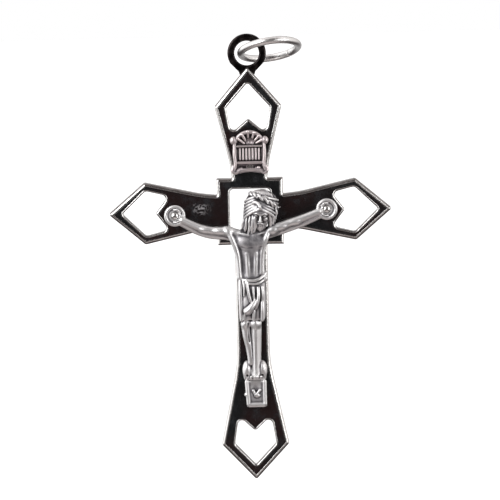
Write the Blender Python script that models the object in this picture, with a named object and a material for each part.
"""A pendant crucifix about two inches tall, built from its separate pieces.

A pierced silver cross frame holds a field of black enamel in its face. A cast figure is riveted on through
both hands and the feet, above a small foot rest and below a title scroll. A hanging eye is soldered behind
the top point, and a split jump ring swings in it.

World frame: metres, +Z up, the front faces -Y, and the origin is the centre of the hanging eye's hole.
Everything on the cross is drawn in millimetres about the centre of the crossing: x to the right, z up and
y backwards. A depth is a distance in front of the frame's front face.
"""

import math

import bmesh
import bpy
from mathutils import Matrix, Vector
from mathutils.geometry import tessellate_polygon

MM = 0.001

# Driving dimensions, in millimetres.
EYE_TO_CROSSING = 18.0
BACK_Y = 0.45
THICKNESS = 1.8
FRONT_Y = BACK_Y - THICKNESS
CLEARANCE = 0.04  # between pieces that touch on the real object
OUTER_RIM = 0.42
INNER_RIM = 0.26
OUTER_CHAMFER = 0.24
INNER_CHAMFER = 0.14
BACK_CHAMFER = 0.12
ENAMEL_POCKET = 0.26
ENAMEL_BELOW_RIM = 0.03
ENAMEL_EDGE = 0.05  # rounding of the enamel where it meets the rim

# The frame's outline: its right-hand side from the top point to the bottom point, as (x, z, corner radius).
BLOCK_HALF = 3.8
ROOT = 3.77  # where an arm leaves the block, whose sides fall off a little from its corners
TOP_TIP, ARM_TIP, BOTTOM_TIP = 16.5, 16.15, -30.75
FRAME_SIDE = [
    (0.0, TOP_TIP, 0.25),
    (3.82, 12.0, 0.35),
    (2.28, 5.8, 12.0),
    (2.02, ROOT, 0.12),
    (BLOCK_HALF, BLOCK_HALF, 0.15),
    (ROOT, 1.92, 0.12),
    (5.7, 2.12, 12.0),
    (12.0, 3.52, 0.35),
    (ARM_TIP, 0.0, 0.25),
    (12.0, -3.52, 0.35),
    (5.7, -2.12, 12.0),
    (ROOT, -1.92, 0.12),
    (BLOCK_HALF, -BLOCK_HALF, 0.15),
    (1.87, -ROOT, 0.12),
    (1.87, -17.4, 15.0),
    (3.85, -26.65, 0.35),
    (0.0, BOTTOM_TIP, 0.25),
]

# The opening in each terminal, measured out along its arm and across it, as (out, across, corner radius).
# The cusp points out from the crossing between two round lobes.
TOP_OPENING = [(14.7, 0.0, 0.3), (11.9, 2.5, 0.5), (8.85, 2.0, 0.5), (10.55, 0.0, 0.25)]
SIDE_OPENING = [(14.6, 0.0, 0.3), (11.9, 2.6, 0.55), (9.25, 1.95, 0.5), (10.75, 0.0, 0.14)]
BOTTOM_OPENING = [(28.95, 0.0, 0.2), (26.55, 2.4, 0.5), (23.3, 1.85, 0.5), (25.05, 0.0, 0.35)]
WINDOW_HALF_WIDTH, WINDOW_LOW, WINDOW_HIGH, WINDOW_CORNER = 2.3, -2.5, 2.6, 0.45

# Hanging eye, about its own centre.
EYE_OUTER, EYE_HOLE, EYE_THICKNESS, EYE_CHAMFER = 2.2, 1.4, 0.9, 0.12
EYE_TAB = [(1.95, -1.15), (0.95, -2.1), (0.75, -2.75)]  # right-hand corners, top to bottom

# Jump ring, seen nearly edge-on: its front half rises and its back half drops.
RING_CENTRE = (2.6, 0.0, 0.35)
RING_RADIUS, WIRE_RADIUS = 3.3, 0.42
RING_ROLL, RING_PITCH = math.radians(7.5), math.radians(20)
SPLIT_AT, SPLIT_ANGLE = math.radians(-48), math.radians(1.6)

# Rivets: (x, z) of each, and their sizes.
HANDS = {"left": (-8.6, -0.25), "right": (8.7, 0.12)}
FEET = (0.15, -18.3)
TITLE = (0.05, 5.05)
SHANK, RIVET_TAIL, TAIL_DEPTH = 0.30, 0.55, 0.32
RIVET_HEAD, RIVET_LIP, RIVET_DOME = 0.42, 0.06, 0.26
FOOT_PIN, TITLE_PIN = 0.6, 0.45  # how far these two reach into the piece that they hold

# The ring cast round each hand.
ROUNDEL, ROUNDEL_DEPTH, ROUNDEL_RECESS, RECESS_FLOOR = 1.2, 0.85, 0.5, 0.55

FOOT_REST = [(-1.05, -19.3), (1.35, -19.3), (1.35, -22.3), (-0.85, -22.3)]
FOOT_REST_DEPTH, FOOT_REST_CHAMFER = 0.9, 0.12
FOOT_REST_FIELD = (-0.62, 0.98, -21.9)  # left, right and lower sides of the field sunk in it; open at the top
FOOT_REST_SUNK = 0.25

# The title scroll: its right-hand side from the top of the crest to the arch of its lower edge.
SCROLL_X = 0.05
SCROLL_SIDE = [
    (0.0, 9.5, 0.8),
    (1.15, 9.0, 0.6),
    (1.7, 8.7, 0.2),
    (2.2, 8.8, 0.4),
    (2.25, 7.85, 0.4),
    (1.75, 7.6, 0.2),
    (1.73, 5.55, 0.15),
    (2.0, 5.4, 0.2),
    (2.05, 4.3, 0.2),
    (1.3, 4.27, 0.2),
    (0.9, 4.6, 0.5),
    (0.0, 4.75, 0.6),
]
SCROLL_DEPTH, SCROLL_CHAMFER = 0.85, 0.15
PANEL_HALF, PANEL_LOW, PANEL_HIGH, PANEL_SUNK = 1.45, 5.8, 7.45, 0.25

SMALLEST_RADIUS = 0.03
ARC_STEP = math.radians(24)
ROUND_STEPS = 16

# The figure is built from balls (centre, radii, tilt in degrees about y) and tapering limbs (start, radius,
# end, radius). Their points are (x, depth, z).
FIGURE_BALLS = [
    ((1.28, 0.75, 0.85), (1.9, 1.42, 1.72), 0),  # hair over the head
    ((1.2, 1.55, -0.3), (0.9, 1.0, 1.35), 5),  # face
    ((1.08, 1.6, -1.7), (0.52, 0.6, 0.8), 5),  # beard
    ((0.0, 0.9, -3.4), (1.65, 0.95, 1.2), 0),  # chest
    ((0.05, 0.8, -8.2), (1.42, 1.05, 1.2), 0),  # hips
    ((1.5, 1.0, -7.5), (0.35, 0.5, 0.5), 0),  # knot of the loincloth
    ((0.5, 1.25, -12.9), (0.55, 0.5, 0.7), 0),  # right knee
    ((-0.8, 0.95, -13.0), (0.45, 0.45, 0.6), 0),  # left knee
    ((-0.75, 0.3, -18.2), (0.52, 0.4, 1.05), 0),  # left lobe of the ledge under the feet
    ((0.88, 0.3, -18.2), (0.48, 0.4, 1.05), 0),  # right lobe
]
FIGURE_LIMBS = [
    ((-0.05, 1.3, 0.6), 0.8, (-0.55, 1.05, -1.9), 0.5),  # hair on the left
    ((2.55, 1.0, 0.5), 0.7, (2.4, 0.85, -1.6), 0.4),  # hair on the right
    ((0.0, 0.95, 2.0), 0.35, (1.5, 2.05, 1.55), 0.38),  # crown of thorns, left half
    ((1.5, 2.05, 1.55), 0.38, (3.0, 0.95, 0.45), 0.35),  # crown of thorns, right half
    ((0.6, 0.9, -1.5), 0.6, (0.2, 0.9, -2.8), 0.75),  # neck
    ((-1.9, 0.6, -2.5), 0.6, (1.6, 0.6, -2.4), 0.6),  # shoulders
    ((-1.75, 0.75, -2.45), 0.64, (-4.4, 0.7, -2.2), 0.55),  # left upper arm
    ((-4.4, 0.7, -2.2), 0.55, (-7.7, 0.55, -0.9), 0.42),  # left forearm
    ((1.5, 0.75, -2.4), 0.64, (4.2, 0.7, -1.6), 0.55),  # right upper arm
    ((4.2, 0.7, -1.6), 0.55, (7.8, 0.55, -0.3), 0.42),  # right forearm
    ((-0.45, 0.8, -3.6), 0.95, (-0.35, 0.7, -7.4), 0.9),  # trunk, left half
    ((0.45, 0.8, -3.6), 0.95, (0.42, 0.7, -7.4), 0.9),  # trunk, right half
    ((-0.45, 0.8, -8.2), 0.98, (-0.45, 0.8, -11.3), 0.95),  # loincloth, left half
    ((0.5, 0.8, -8.2), 0.98, (0.5, 0.8, -11.3), 0.95),  # loincloth, right half
    ((-0.75, 0.8, -11.0), 0.66, (-0.82, 0.85, -12.9), 0.55),  # left thigh
    ((-0.82, 0.85, -12.9), 0.52, (-0.1, 0.45, -17.4), 0.38),  # left shin, passing behind
    ((-0.02, 0.75, -12.4), 0.5, (0.0, 0.6, -17.4), 0.38),  # right shin, calf side
    ((0.6, 0.85, -12.4), 0.5, (0.5, 0.65, -17.4), 0.38),  # right shin
    ((0.0, 0.6, -17.4), 0.38, (-0.25, 0.55, -18.8), 0.4),  # right foot, heel side
    ((0.5, 0.65, -17.4), 0.38, (0.65, 0.55, -18.8), 0.42),  # right foot
]
FIGURE_VOXEL = 0.22
FIGURE_KEEP = 0.34  # share of the remeshed figure's triangles that is kept

MATERIALS = {  # base colour, metallic, roughness
    "plated_silver": ((0.62, 0.60, 0.58), 1.0, 0.28),
    "oxidised_silver": ((0.40, 0.39, 0.40), 1.0, 0.36),
    "black_enamel": ((0.012, 0.010, 0.011), 0.0, 0.22),
    "dark_plating": ((0.03, 0.028, 0.03), 1.0, 0.30),
}


def clear_scene():
    for obj in list(bpy.data.objects):
        bpy.data.objects.remove(obj, do_unlink=True)


def make_materials():
    for name, (colour, metallic, roughness) in MATERIALS.items():
        material = bpy.data.materials.new(name)
        material.use_nodes = True
        shader = material.node_tree.nodes["Principled BSDF"]
        shader.inputs["Base Color"].default_value = (*colour, 1.0)
        shader.inputs["Metallic"].default_value = metallic
        shader.inputs["Roughness"].default_value = roughness


def new_object(name, mesh, material, parent=None):
    """Turns a bmesh into a smooth-shaded object, with a parent empty if it has one."""
    data = bpy.data.meshes.new(name)
    bmesh.ops.recalc_face_normals(mesh, faces=mesh.faces)
    mesh.to_mesh(data)
    mesh.free()
    data.shade_smooth()
    data.set_sharp_from_angle(angle=math.radians(32))
    data.materials.append(bpy.data.materials[material])
    obj = bpy.data.objects.new(name, data)
    obj.parent = parent
    bpy.context.collection.objects.link(obj)
    return obj


def subtract(target, cutter):
    """Cuts one object out of another and hides the cutter."""
    cutter.hide_render = True
    cutter.display_type = "WIRE"
    cut = target.modifiers.new("cut_" + cutter.name, "BOOLEAN")
    cut.operation = "DIFFERENCE"
    cut.solver = "EXACT"
    cut.object = cutter


def on_front(x, depth, z):
    """A point in front of the frame's face, in metres about the crossing."""
    return Vector((x, FRONT_Y - depth, z)) * MM


def both_sides(side):
    """The whole clockwise outline from its right-hand side, which starts and ends on the middle line."""
    left = [(-x, z, radius) for x, z, radius in reversed(side[1:-1])]
    return side + left


def clockwise(corners):
    """The corners in clockwise order, whichever way they came."""
    following = corners[1:] + corners[:1]
    twice_area = sum(a[0] * b[1] - b[0] * a[1] for a, b in zip(corners, following))
    return corners if twice_area < 0 else corners[::-1]


def terminal_opening(shape, direction):
    """The opening of one terminal; direction is the arm's, as (x, z)."""
    out_x, out_z = direction
    apex, shoulder, lobe, cusp = shape
    around = [apex, shoulder, lobe, cusp]
    around += [(out, -across, radius) for out, across, radius in (lobe, shoulder)]
    corners = [
        (out * out_x - across * out_z, out * out_z + across * out_x, radius) for out, across, radius in around
    ]
    return clockwise(corners)


def rounded_loop(corners, inset):
    """The outline moved to the left of its direction by inset, with its corners rounded."""
    count = len(corners)
    points = [Vector(corner[:2]) for corner in corners]
    edges = [(points[(i + 1) % count] - points[i]).normalized() for i in range(count)]
    moved, radii, turns = [], [], []
    for i in range(count):
        before, after = edges[i - 1], edges[i]
        left_before, left_after = Vector((-before.y, before.x)), Vector((-after.y, after.x))
        mitre = (left_before + left_after) / (1 + left_before.dot(left_after))
        turn = math.atan2(before.x * after.y - before.y * after.x, before.dot(after))
        radius = corners[i][2] - math.copysign(inset, turn)
        moved.append(points[i] + mitre * inset)
        radii.append(max(radius, SMALLEST_RADIUS))
        turns.append(turn)
    loop = []
    for i in range(count):
        before, turn, radius = edges[i - 1], turns[i], radii[i]
        reach = radius * math.tan(abs(turn) / 2)
        side = math.copysign(1.0, turn)
        start = moved[i] - before * reach
        centre = start + Vector((-before.y, before.x)) * radius * side
        steps = max(2, math.ceil(abs(turn) / ARC_STEP))
        for step in range(steps + 1):
            swing = Matrix.Rotation(turn * step / steps, 2)
            loop.append(centre + swing @ (start - centre))
    return loop


def outline(corners):
    return lambda inset: rounded_loop(corners, inset)


def bore(x, z, radius):
    """A round hole's outline, clockwise, so that an inset widens it."""

    def loop(inset):
        angles = [-math.tau * i / ROUND_STEPS for i in range(ROUND_STEPS)]
        return [Vector((x + (radius + inset) * math.cos(a), z + (radius + inset) * math.sin(a))) for a in angles]

    return loop


def add_cap(mesh, rings):
    """Fills the flat region between an outer ring of vertices and the rings of its holes."""
    flat = [[vertex.co / MM for vertex in ring] for ring in rings]
    vertices = [vertex for ring in rings for vertex in ring]
    faces = [mesh.faces.new([vertices[i] for i in triangle]) for triangle in tessellate_polygon(flat)]
    cap = set(faces)
    inner_edges = {edge for face in faces for edge in face.edges if cap.issuperset(edge.link_faces)}
    bmesh.ops.beautify_fill(mesh, faces=faces, edges=list(inner_edges), method="ANGLE")


def swept_plate(name, sweeps, material, parent=None):
    """A closed plate. Each sweep is (outline, stations), and its stations are (inset, y) from back to front."""
    mesh = bmesh.new()
    backs, fronts = [], []
    for loop_at, stations in sweeps:
        rings = [
            [mesh.verts.new((point.x * MM, y * MM, point.y * MM)) for point in loop_at(inset)]
            for inset, y in stations
        ]
        for near, far in zip(rings, rings[1:]):
            for i in range(len(near)):
                mesh.faces.new((near[i - 1], near[i], far[i], far[i - 1]))
        backs.append(rings[0])
        fronts.append(rings[-1])
    add_cap(mesh, backs)
    add_cap(mesh, fronts)
    return new_object(name, mesh, material, parent)


def turned(name, profile, centre, material, parent=None):
    """A solid turned about a y axis through centre (x, z). Its profile is (radius, y) from end to end."""
    mesh = bmesh.new()
    x, z = centre
    rings = []
    for radius, y in profile:
        ring = []
        for i in range(ROUND_STEPS):
            angle = math.tau * i / ROUND_STEPS
            place = Vector((x + radius * math.cos(angle), y, z + radius * math.sin(angle)))
            ring.append(mesh.verts.new(place * MM))
        rings.append(ring)
    for near, far in zip(rings, rings[1:]):
        for i in range(ROUND_STEPS):
            mesh.faces.new((near[i - 1], near[i], far[i], far[i - 1]))
    mesh.faces.new(rings[0])
    mesh.faces.new(rings[-1])
    return new_object(name, mesh, material, parent)


def box_between(name, low, high, parent):
    """A plain box between two corners given in millimetres about the crossing."""
    mesh = bmesh.new()
    low, high = Vector(low) * MM, Vector(high) * MM
    place = Matrix.Translation((low + high) / 2) @ Matrix.Diagonal((*(high - low), 1.0))
    bmesh.ops.create_cube(mesh, size=1.0, matrix=place)
    return new_object(name, mesh, "plated_silver", parent)


def rivet_bores():
    return [bore(x, z, SHANK + CLEARANCE) for x, z in (*HANDS.values(), FEET, TITLE)]


def frame_openings():
    window = [
        (-WINDOW_HALF_WIDTH, WINDOW_LOW, WINDOW_CORNER),
        (-WINDOW_HALF_WIDTH, WINDOW_HIGH, WINDOW_CORNER),
        (WINDOW_HALF_WIDTH, WINDOW_HIGH, WINDOW_CORNER),
        (WINDOW_HALF_WIDTH, WINDOW_LOW, WINDOW_CORNER),
    ]
    openings = [
        terminal_opening(TOP_OPENING, (0, 1)),
        terminal_opening(BOTTOM_OPENING, (0, -1)),
        terminal_opening(SIDE_OPENING, (1, 0)),
        terminal_opening(SIDE_OPENING, (-1, 0)),
        window,
    ]
    return [outline(corners) for corners in openings]


def rim_stations(rim, chamfer):
    """A wall from the back, over a chamfered rim and down to the floor of the enamel's pocket."""
    return [
        (BACK_CHAMFER, BACK_Y),
        (0.0, BACK_Y - BACK_CHAMFER),
        (0.0, FRONT_Y + chamfer),
        (chamfer, FRONT_Y),
        (rim, FRONT_Y),
        (rim, FRONT_Y + ENAMEL_POCKET),
    ]


def build_frame(parent):
    """The cross: a pierced plate with a raised rim round a shallow pocket, and countersunk rivet holes."""
    outer = outline(both_sides(FRAME_SIDE)[::-1])
    countersink = RIVET_TAIL - SHANK
    bore_stations = [
        (countersink, BACK_Y),
        (countersink, BACK_Y - CLEARANCE),
        (0.0, BACK_Y - TAIL_DEPTH),
        (0.0, FRONT_Y + ENAMEL_POCKET),
    ]
    sweeps = [(outer, rim_stations(OUTER_RIM, OUTER_CHAMFER))]
    sweeps += [(opening, rim_stations(INNER_RIM, INNER_CHAMFER)) for opening in frame_openings()]
    sweeps += [(hole, bore_stations) for hole in rivet_bores()]
    frame = swept_plate("cross_frame", sweeps, "plated_silver", parent)
    tab_low = EYE_TO_CROSSING + EYE_TAB[-1][1] - CLEARANCE
    tab_wide = EYE_TAB[1][0] + CLEARANCE
    rebate_y = -EYE_THICKNESS / 2 - CLEARANCE
    rebate = box_between(
        "eye_tab_rebate", (-tab_wide, rebate_y, tab_low), (tab_wide, BACK_Y + 1.0, TOP_TIP + 1.0), parent
    )
    subtract(frame, rebate)


def build_enamel(parent):
    """The enamel that fills the pocket, a little below the rim and rounded where it meets it."""

    def field_stations(rim):
        edge = rim + CLEARANCE
        surface = FRONT_Y + ENAMEL_BELOW_RIM
        return [
            (edge, FRONT_Y + ENAMEL_POCKET - CLEARANCE),
            (edge, surface + ENAMEL_EDGE),
            (edge + ENAMEL_EDGE, surface),
        ]

    def bore_stations():
        return [(0.0, FRONT_Y + ENAMEL_POCKET - CLEARANCE), (0.0, FRONT_Y + ENAMEL_BELOW_RIM)]

    sweeps = [(outline(both_sides(FRAME_SIDE)[::-1]), field_stations(OUTER_RIM))]
    sweeps += [(opening, field_stations(INNER_RIM)) for opening in frame_openings()]
    sweeps += [(hole, bore_stations()) for hole in rivet_bores()]
    swept_plate("enamel_field", sweeps, "black_enamel", parent)


def build_eye():
    """The flat ring that the jump ring hangs in, with the tab that is soldered behind the top point."""
    tab_angle = math.atan2(EYE_TAB[0][1], EYE_TAB[0][0])
    sweep = math.pi - 2 * tab_angle
    steps = 2 * ROUND_STEPS
    arc = [
        (EYE_OUTER * math.cos(tab_angle + sweep * i / steps), EYE_OUTER * math.sin(tab_angle + sweep * i / steps))
        for i in range(steps + 1)
    ]
    left = [(-x, z) for x, z in EYE_TAB[1:]]
    right = list(reversed(EYE_TAB[1:]))
    corners = [(x, z, SMALLEST_RADIUS) for x, z in arc + left + right]
    half = EYE_THICKNESS / 2
    stations = [
        (EYE_CHAMFER, half),
        (0.0, half - EYE_CHAMFER),
        (0.0, EYE_CHAMFER - half),
        (EYE_CHAMFER, -half),
    ]
    swept_plate("hanging_eye", [(outline(corners), stations), (bore(0, 0, EYE_HOLE), stations)], "dark_plating")


def build_jump_ring():
    """A round wire bent into a ring whose two ends almost meet. Its origin is on the axis it swings about."""
    along = Vector((math.cos(RING_ROLL), 0.0, math.sin(RING_ROLL)))
    upright = Vector((-math.sin(RING_ROLL), 0.0, math.cos(RING_ROLL)))
    forward = math.cos(RING_PITCH) * Vector((0.0, -1.0, 0.0)) + math.sin(RING_PITCH) * upright
    normal = along.cross(forward)
    mesh = bmesh.new()
    steps, sides = 44, 12
    start = SPLIT_AT + SPLIT_ANGLE / 2
    turn = math.tau - SPLIT_ANGLE
    rings = []
    for i in range(steps + 1):
        angle = start + turn * i / steps
        outward = math.cos(angle) * along + math.sin(angle) * forward
        ring = []
        for side in range(sides):
            roll = math.tau * side / sides
            offset = (math.cos(roll) * outward + math.sin(roll) * normal) * WIRE_RADIUS
            ring.append(mesh.verts.new((Vector(RING_CENTRE) + outward * RING_RADIUS + offset) * MM))
        rings.append(ring)
    for near, far in zip(rings, rings[1:]):
        for side in range(sides):
            mesh.faces.new((near[side - 1], near[side], far[side], far[side - 1]))
    mesh.faces.new(rings[0])
    mesh.faces.new(rings[-1])
    new_object("jump_ring", mesh, "plated_silver")


def add_ball(mesh, centre, radii, tilt=0.0):
    turn = Matrix.Rotation(math.radians(tilt), 4, "Y")
    scale = Matrix.Diagonal((*(Vector(radii) * MM), 1.0))
    place = Matrix.Translation(on_front(*centre)) @ turn @ scale
    bmesh.ops.create_uvsphere(mesh, u_segments=20, v_segments=14, radius=1.0, matrix=place)


def add_limb(mesh, start, start_radius, end, end_radius):
    """A limb that tapers between two balls."""
    add_ball(mesh, start, [start_radius] * 3)
    add_ball(mesh, end, [end_radius] * 3)
    low, high = on_front(*start), on_front(*end)
    along = high - low
    place = Matrix.Translation((low + high) / 2) @ along.to_track_quat("Z", "Y").to_matrix().to_4x4()
    bmesh.ops.create_cone(
        mesh,
        cap_ends=True,
        segments=20,
        radius1=start_radius * MM,
        radius2=end_radius * MM,
        depth=along.length,
        matrix=place,
    )


def add_disc(mesh, centre, radius, depth):
    """The round plate cast behind a hand, standing on the frame's face."""
    x, z = centre
    middle = on_front(x, depth / 2, z)
    place = Matrix.Translation(middle) @ Matrix.Rotation(math.pi / 2, 4, "X")
    bmesh.ops.create_cone(
        mesh, cap_ends=True, segments=32, radius1=radius * MM, radius2=radius * MM, depth=depth * MM, matrix=place
    )


def build_figure(parent):
    """The cast figure: one body, flat at the back, with a bore for each rivet."""
    mesh = bmesh.new()
    for centre, radii, tilt in FIGURE_BALLS:
        add_ball(mesh, centre, radii, tilt)
    for limb in FIGURE_LIMBS:
        add_limb(mesh, *limb)
    for centre in HANDS.values():
        add_disc(mesh, centre, ROUNDEL, ROUNDEL_DEPTH)
    figure = new_object("corpus", mesh, "oxidised_silver", parent)
    remesh = figure.modifiers.new("one_body", "REMESH")
    remesh.mode = "VOXEL"
    remesh.voxel_size = FIGURE_VOXEL * MM
    remesh.use_smooth_shade = True
    smooth = figure.modifiers.new("soften", "SMOOTH")
    smooth.factor = 0.5
    smooth.iterations = 3
    thin = figure.modifiers.new("fewer_faces", "DECIMATE")
    thin.ratio = FIGURE_KEEP
    back = FRONT_Y - CLEARANCE
    subtract(figure, box_between("figure_back", (-12.0, back, -24.0), (12.0, back + 6.0, 6.0), parent))
    hole = SHANK + CLEARANCE
    for side, centre in HANDS.items():
        recess = [(ROUNDEL_RECESS, FRONT_Y - RECESS_FLOOR), (ROUNDEL_RECESS, FRONT_Y - 3.0)]
        subtract(figure, turned(f"recess_{side}", recess, centre, "plated_silver", parent))
        through = [(hole, FRONT_Y + 1.0), (hole, FRONT_Y - 2.0)]
        subtract(figure, turned(f"hand_bore_{side}", through, centre, "plated_silver", parent))
    blind = [(hole, FRONT_Y + 1.0), (hole, FRONT_Y - FOOT_PIN - CLEARANCE)]
    subtract(figure, turned("foot_bore", blind, FEET, "plated_silver", parent))



def build_rivets(parent):
    """Two rivets with domed heads hold the hands; two from the back hold the feet and the title scroll."""
    tail = [
        (RIVET_TAIL - CLEARANCE, BACK_Y - 0.02),
        (RIVET_TAIL - CLEARANCE, BACK_Y - 2 * CLEARANCE),
        (SHANK, BACK_Y - TAIL_DEPTH - CLEARANCE),
    ]
    seat = FRONT_Y - RECESS_FLOOR - CLEARANCE
    dome = [
        (RIVET_HEAD * math.cos(angle), seat - RIVET_LIP - RIVET_DOME * math.sin(angle))
        for angle in (math.radians(a) for a in (0, 20, 40, 60, 78))
    ]
    for side, centre in HANDS.items():
        profile = tail + [(SHANK, seat), (RIVET_HEAD, seat)] + dome
        turned(f"hand_rivet_{side}", profile, centre, "plated_silver", parent)
    turned("foot_rivet", tail + [(SHANK, FRONT_Y - FOOT_PIN)], FEET, "plated_silver", parent)
    turned("title_rivet", tail + [(SHANK, FRONT_Y - TITLE_PIN)], TITLE, "plated_silver", parent)


def build_foot_rest(parent):
    """A small tapered plate below the feet, with a sunk field that a border closes on three sides."""
    corners = [(x, z, 0.15) for x, z in FOOT_REST[::-1]]
    front = FRONT_Y - FOOT_REST_DEPTH
    stations = [(0.0, FRONT_Y - CLEARANCE), (0.0, front + FOOT_REST_CHAMFER), (FOOT_REST_CHAMFER, front)]
    rest = swept_plate("foot_rest", [(outline(corners), stations)], "oxidised_silver", parent)
    left, right, low = FOOT_REST_FIELD
    above = FOOT_REST[0][1] + 1.0
    field = box_between("foot_field", (left, front - 1.0, low), (right, front + FOOT_REST_SUNK, above), parent)
    subtract(rest, field)


def build_title_scroll(parent):
    """The scroll above the head: a crested plate with a sunk panel that carries no lettering."""
    corners = [(x + SCROLL_X, z, radius) for x, z, radius in both_sides(SCROLL_SIDE)[::-1]]
    front = FRONT_Y - SCROLL_DEPTH
    stations = [(0.0, FRONT_Y - CLEARANCE), (0.0, front + SCROLL_CHAMFER), (SCROLL_CHAMFER, front)]
    scroll = swept_plate("title_scroll", [(outline(corners), stations)], "oxidised_silver", parent)
    panel = box_between(
        "title_panel",
        (SCROLL_X - PANEL_HALF, front - 1.0, PANEL_LOW),
        (SCROLL_X + PANEL_HALF, front + PANEL_SUNK, PANEL_HIGH),
        parent,
    )
    subtract(scroll, panel)
    hole = SHANK + CLEARANCE
    blind = [(hole, FRONT_Y + 1.0), (hole, FRONT_Y - TITLE_PIN - CLEARANCE)]
    subtract(scroll, turned("title_bore", blind, TITLE, "plated_silver", parent))


def main():
    clear_scene()
    make_materials()
    crossing = bpy.data.objects.new("crossing", None)
    crossing.location = (0.0, 0.0, -EYE_TO_CROSSING * MM)
    bpy.context.collection.objects.link(crossing)
    build_frame(crossing)
    build_enamel(crossing)
    build_figure(crossing)
    build_rivets(crossing)
    build_foot_rest(crossing)
    build_title_scroll(crossing)
    build_eye()
    build_jump_ring()


main()
